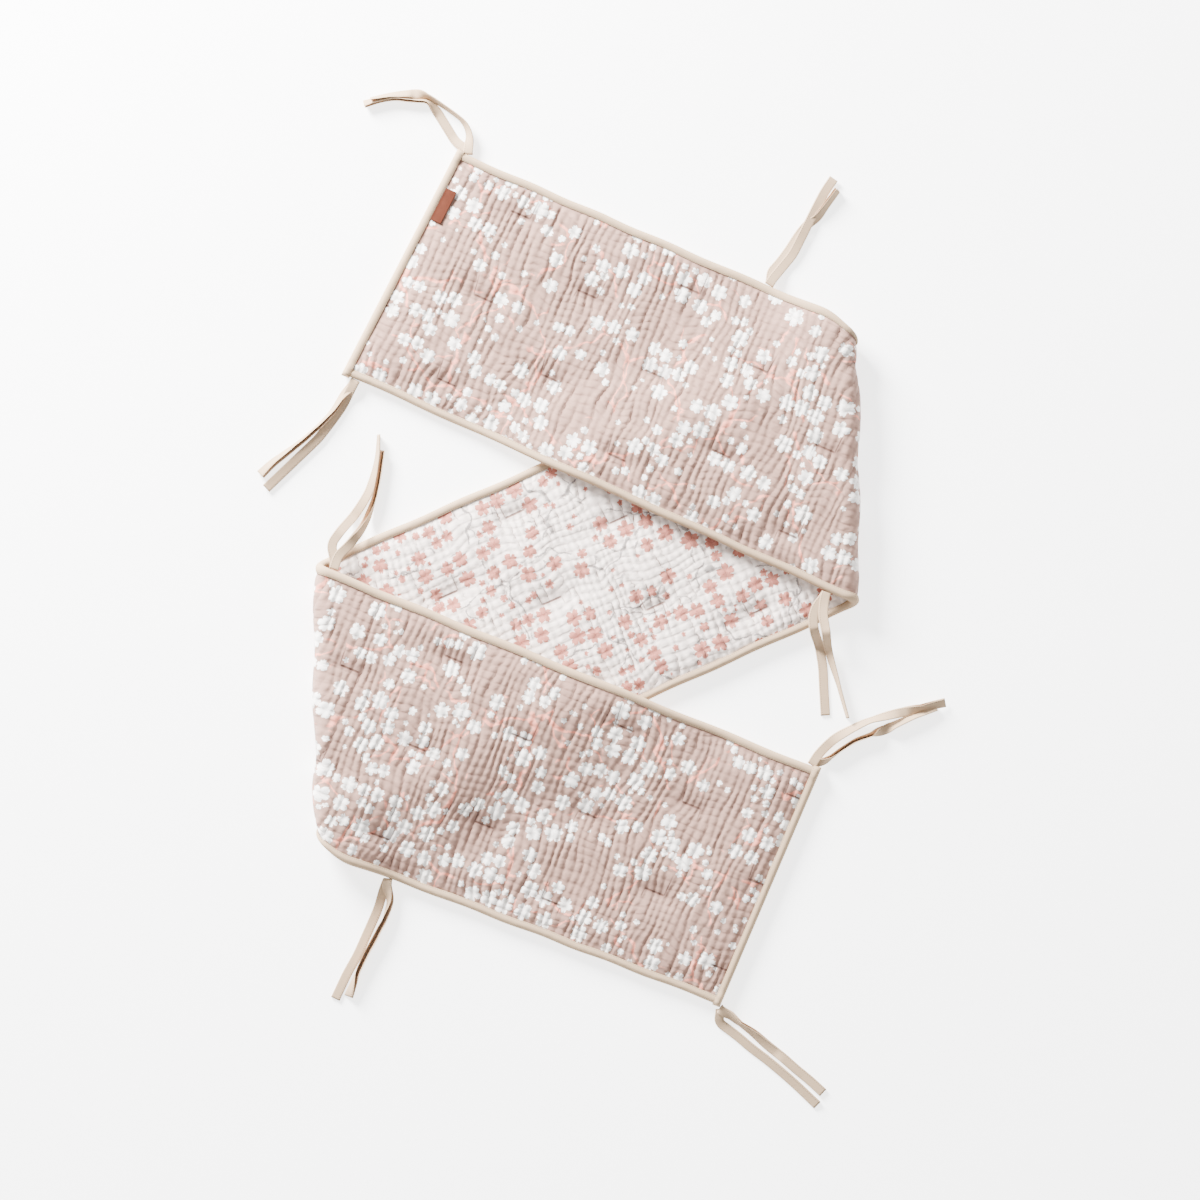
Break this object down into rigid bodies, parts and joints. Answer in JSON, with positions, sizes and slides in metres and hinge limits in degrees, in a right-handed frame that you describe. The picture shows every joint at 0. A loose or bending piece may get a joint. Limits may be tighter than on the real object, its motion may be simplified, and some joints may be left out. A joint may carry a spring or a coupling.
{
  "type": "crib bumper",
  "caption": "Padded quilted crib bumper folded back and forth into three overlapping sections, with bound edges, tape ties and a small leather tab.",
  "frame": {"origin": "centre of the bounding box at the level of the surface it lies on", "axes": "+X to the right and +Y up as the folded bumper is seen from above, +Z up out of the surface"},
  "size_m": [0.8215, 1.2173, 0.0364],
  "materials": {
    "print_cloth": "matt crinkled gauze with a printed blossom pattern, near-white on the reverse",
    "trim_cloth": "matt plain-weave tape",
    "leather": "satin, lightly grained"
  },
  "bodies": {
    "root": {"bumper_pad": "print_cloth", "binding_upper": "trim_cloth", "binding_lower": "trim_cloth", "binding_start": "trim_cloth", "binding_finish": "trim_cloth", "leather_tab": "leather", "tie_1": "trim_cloth", "tie_2": "trim_cloth", "tie_3": "trim_cloth", "tie_4": "trim_cloth", "tie_5": "trim_cloth", "tie_6": "trim_cloth", "tie_7": "trim_cloth", "tie_8": "trim_cloth"}
  },
  "joints": []
}
